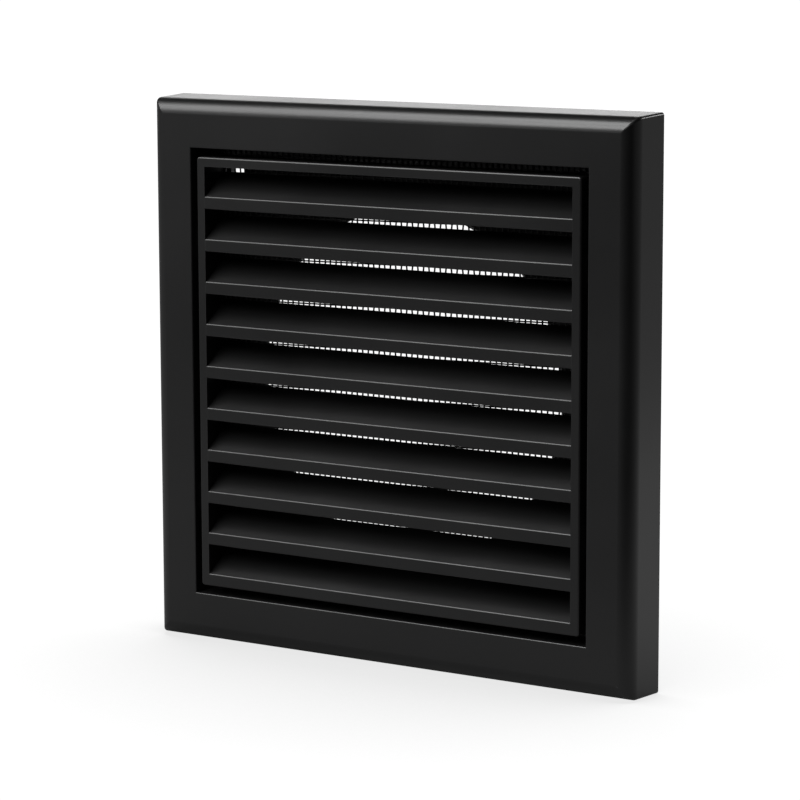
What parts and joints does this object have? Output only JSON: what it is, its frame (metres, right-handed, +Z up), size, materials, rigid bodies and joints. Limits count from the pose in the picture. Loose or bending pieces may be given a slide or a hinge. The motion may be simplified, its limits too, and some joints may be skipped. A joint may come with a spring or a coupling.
{
  "type": "louvred air grille",
  "caption": "Square wall grille: a rounded surround holds a lift-out panel of fixed sloping louvres with an insect screen, over a plate with a round duct hole.",
  "frame": {"origin": "centre of the round duct hole and of the four wall-screw holes, on the plane that lies against the wall", "axes": "+X to the right seen from the room, +Y from the room into the wall, +Z up"},
  "size_m": [0.154, 0.015, 0.154],
  "materials": {
    "surround_plastic": "satin, finely textured",
    "plate_plastic": "matt",
    "panel_plastic": "satin, finely textured",
    "retainer_plastic": "matt",
    "screen_mesh": "coated woven strands",
    "zinc_steel": "zinc plated",
    "spring_steel": "rolled strip"
  },
  "bodies": {
    "surround": {"face_frame": "surround_plastic", "wall_plate": "plate_plastic", "frame_screws": "zinc_steel"},
    "louvre_panel": {"louvre_frame": "panel_plastic", "louvre_blade_1": "panel_plastic", "louvre_blade_2": "panel_plastic", "louvre_blade_3": "panel_plastic", "louvre_blade_4": "panel_plastic", "louvre_blade_5": "panel_plastic", "louvre_blade_6": "panel_plastic", "louvre_blade_7": "panel_plastic", "louvre_blade_8": "panel_plastic", "louvre_blade_9": "panel_plastic", "fly_screen": "screen_mesh", "screen_retainer": "retainer_plastic", "clip_upper_left": "spring_steel", "clip_upper_right": "spring_steel", "clip_lower_left": "spring_steel", "clip_lower_right": "spring_steel"}
  },
  "joints": [
    {"name": "panel_pull", "type": "slide", "parent": "surround", "child": "louvre_panel", "axis": [0, -1, 0], "range_m": [0, 0.04], "deforming": ["clip_upper_left", "clip_upper_right", "clip_lower_left", "clip_lower_right"]}
  ]
}
